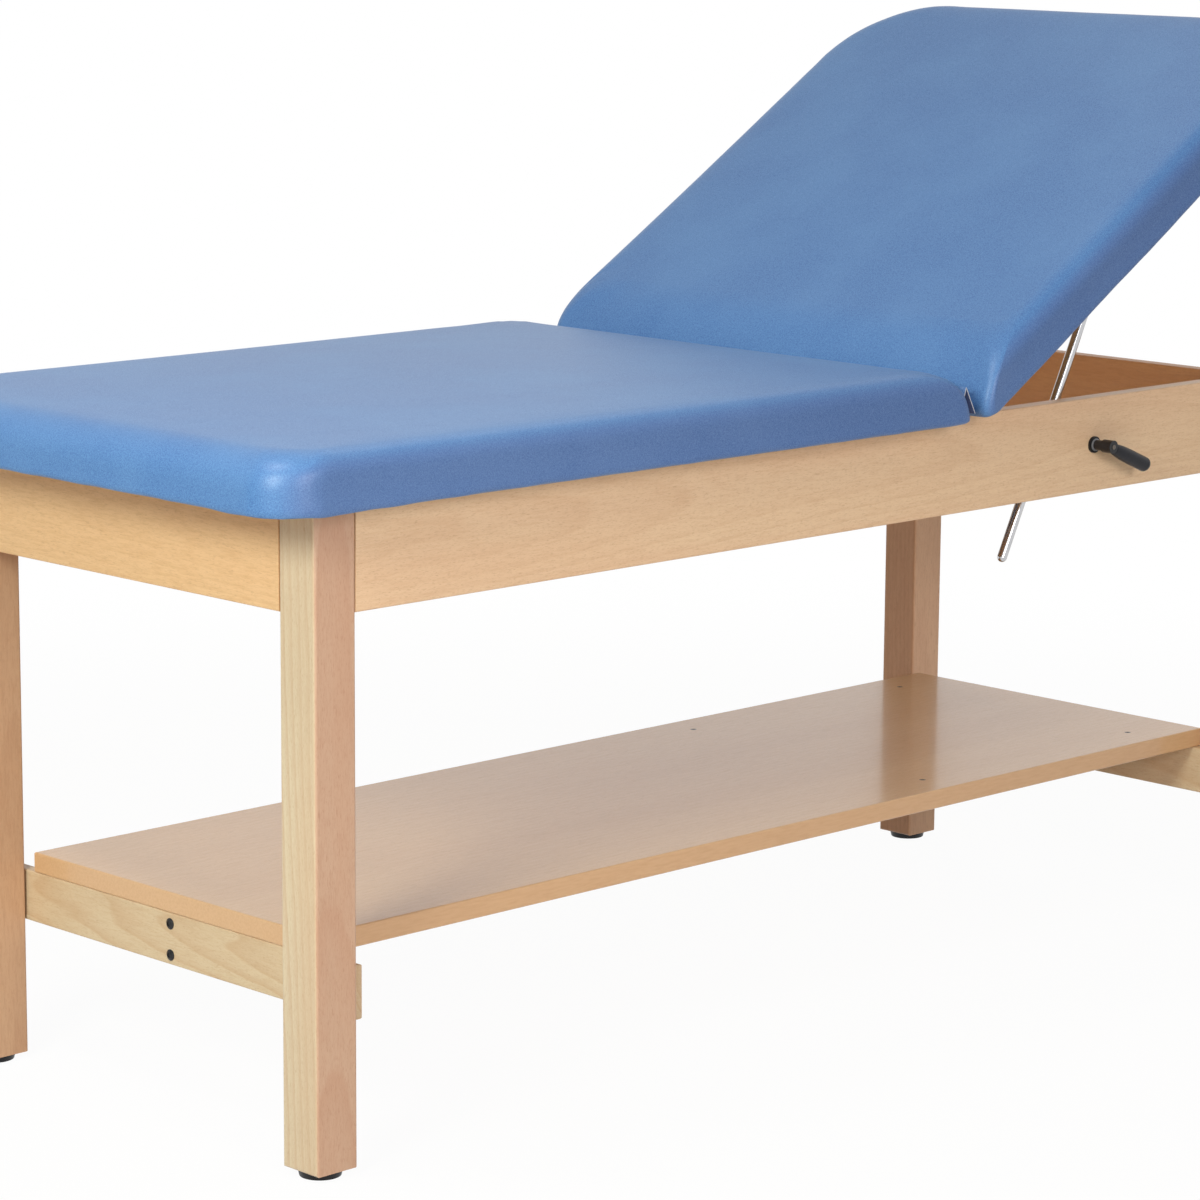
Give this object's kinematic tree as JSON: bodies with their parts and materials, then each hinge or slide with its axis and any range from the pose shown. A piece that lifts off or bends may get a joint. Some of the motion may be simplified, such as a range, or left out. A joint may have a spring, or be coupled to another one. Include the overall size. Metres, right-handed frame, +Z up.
{
  "type": "treatment table",
  "caption": "Padded wooden treatment table with a shelf below and a backrest that tilts on a hinge, held at any angle by a prop rod in a lever clamp",
  "frame": {"origin": "on the floor, midway along the table's full length and width as it stands", "axes": "+X towards the head end with the backrest, +Y to the side away from the clamp's lever, +Z up"},
  "size_m": [1.7, 0.73, 1.1454],
  "materials": {
    "beech": "satin lacquered beech",
    "beech_end_grain": "plain beech, dowels and blocks",
    "shelf_board": "satin veneered board",
    "plywood": "raw plywood",
    "blue_vinyl": "smooth upholstery vinyl over foam",
    "vinyl_strip": "thin upholstery vinyl",
    "zinc": "zinc plated",
    "chrome": "polished chrome",
    "black_steel": "black oxide",
    "black_plastic": "satin black moulding",
    "pad_rubber": "hard rubber"
  },
  "bodies": {
    "table": {"leg_foot_near": "beech", "leg_foot_far": "beech", "leg_head_near": "beech", "leg_head_far": "beech", "side_rail_near": "beech", "side_rail_far": "beech", "apron_foot": "beech", "apron_head": "beech", "hinge_bar": "beech", "middle_bar": "beech", "frame_dowels": "beech_end_grain", "corner_blocks": "beech_end_grain", "corner_bolts": "zinc", "lower_rail_foot": "beech", "lower_rail_head": "beech", "lower_rail_spacers": "zinc", "lower_rail_bolts": "zinc", "stretcher": "beech", "stretcher_bolts": "black_steel", "barrel_nuts": "zinc", "shelf": "shelf_board", "shelf_battens": "beech_end_grain", "shelf_screws": "zinc", "glide_foot_near": "black_plastic", "glide_foot_far": "black_plastic", "glide_head_near": "black_plastic", "glide_head_far": "black_plastic", "glide_screws": "zinc", "foot_board": "plywood", "foot_cushion": "blue_vinyl", "foot_board_screws": "zinc", "gap_flap": "vinyl_strip", "hinge_leaf_frame_near": "zinc", "hinge_leaf_frame_far": "zinc", "hinge_pins": "zinc", "hinge_screws_frame": "zinc", "clamp_bearing": "zinc", "clamp_bearing_screws": "zinc", "guide_ring": "zinc", "clamp_flange": "black_steel"},
    "back": {"back_board": "plywood", "back_cushion": "blue_vinyl", "hinge_leaf_back_near": "zinc", "hinge_leaf_back_far": "zinc", "hinge_screws_back": "zinc", "rod_bracket": "zinc", "rod_bracket_screws": "zinc", "rod_pin": "zinc"},
    "prop": {"prop_rod": "chrome"},
    "guide": {"rod_guide": "zinc"},
    "lever": {"lever_hub": "chrome", "lever_grip": "black_plastic", "lever_screw": "chrome", "clamp_spindle": "zinc"},
    "press_pad": {"clamp_pad": "pad_rubber"}
  },
  "joints": [
    {"name": "backrest_hinge", "type": "hinge", "parent": "table", "child": "back", "pos_m": [0.217, 0, 0.7], "axis": [0, -1, 0], "range_deg": [-32, 13], "deforming": ["gap_flap"]},
    {"name": "rod_pivot", "type": "hinge", "parent": "back", "child": "prop", "pos_m": [0.57784, -0.2455, 0.90567], "axis": [0, -1, 0], "range_deg": [-13, 5.5]},
    {"name": "guide_swivel", "type": "hinge", "parent": "table", "child": "guide", "pos_m": [0.468, -0.2643, 0.648], "axis": [0, -1, 0], "range_deg": [-45, 18.5]},
    {"name": "lever_turn", "type": "hinge", "parent": "table", "child": "lever", "pos_m": [0.468, -0.31, 0.648], "axis": [0, -1, 0], "range_deg": [0, 60]},
    {"name": "pad_slide", "type": "slide", "parent": "table", "child": "press_pad", "axis": [0, -1, 0], "range_m": [0, 0.00055]}
  ],
  "couplings": [
    {"joint": "rod_pivot", "follows": "backrest_hinge", "ratio": 0.4},
    {"joint": "guide_swivel", "follows": "backrest_hinge", "ratio": 1.4},
    {"joint": "pad_slide", "follows": "lever_turn", "m_per_rad": 0.0004775}
  ]
}
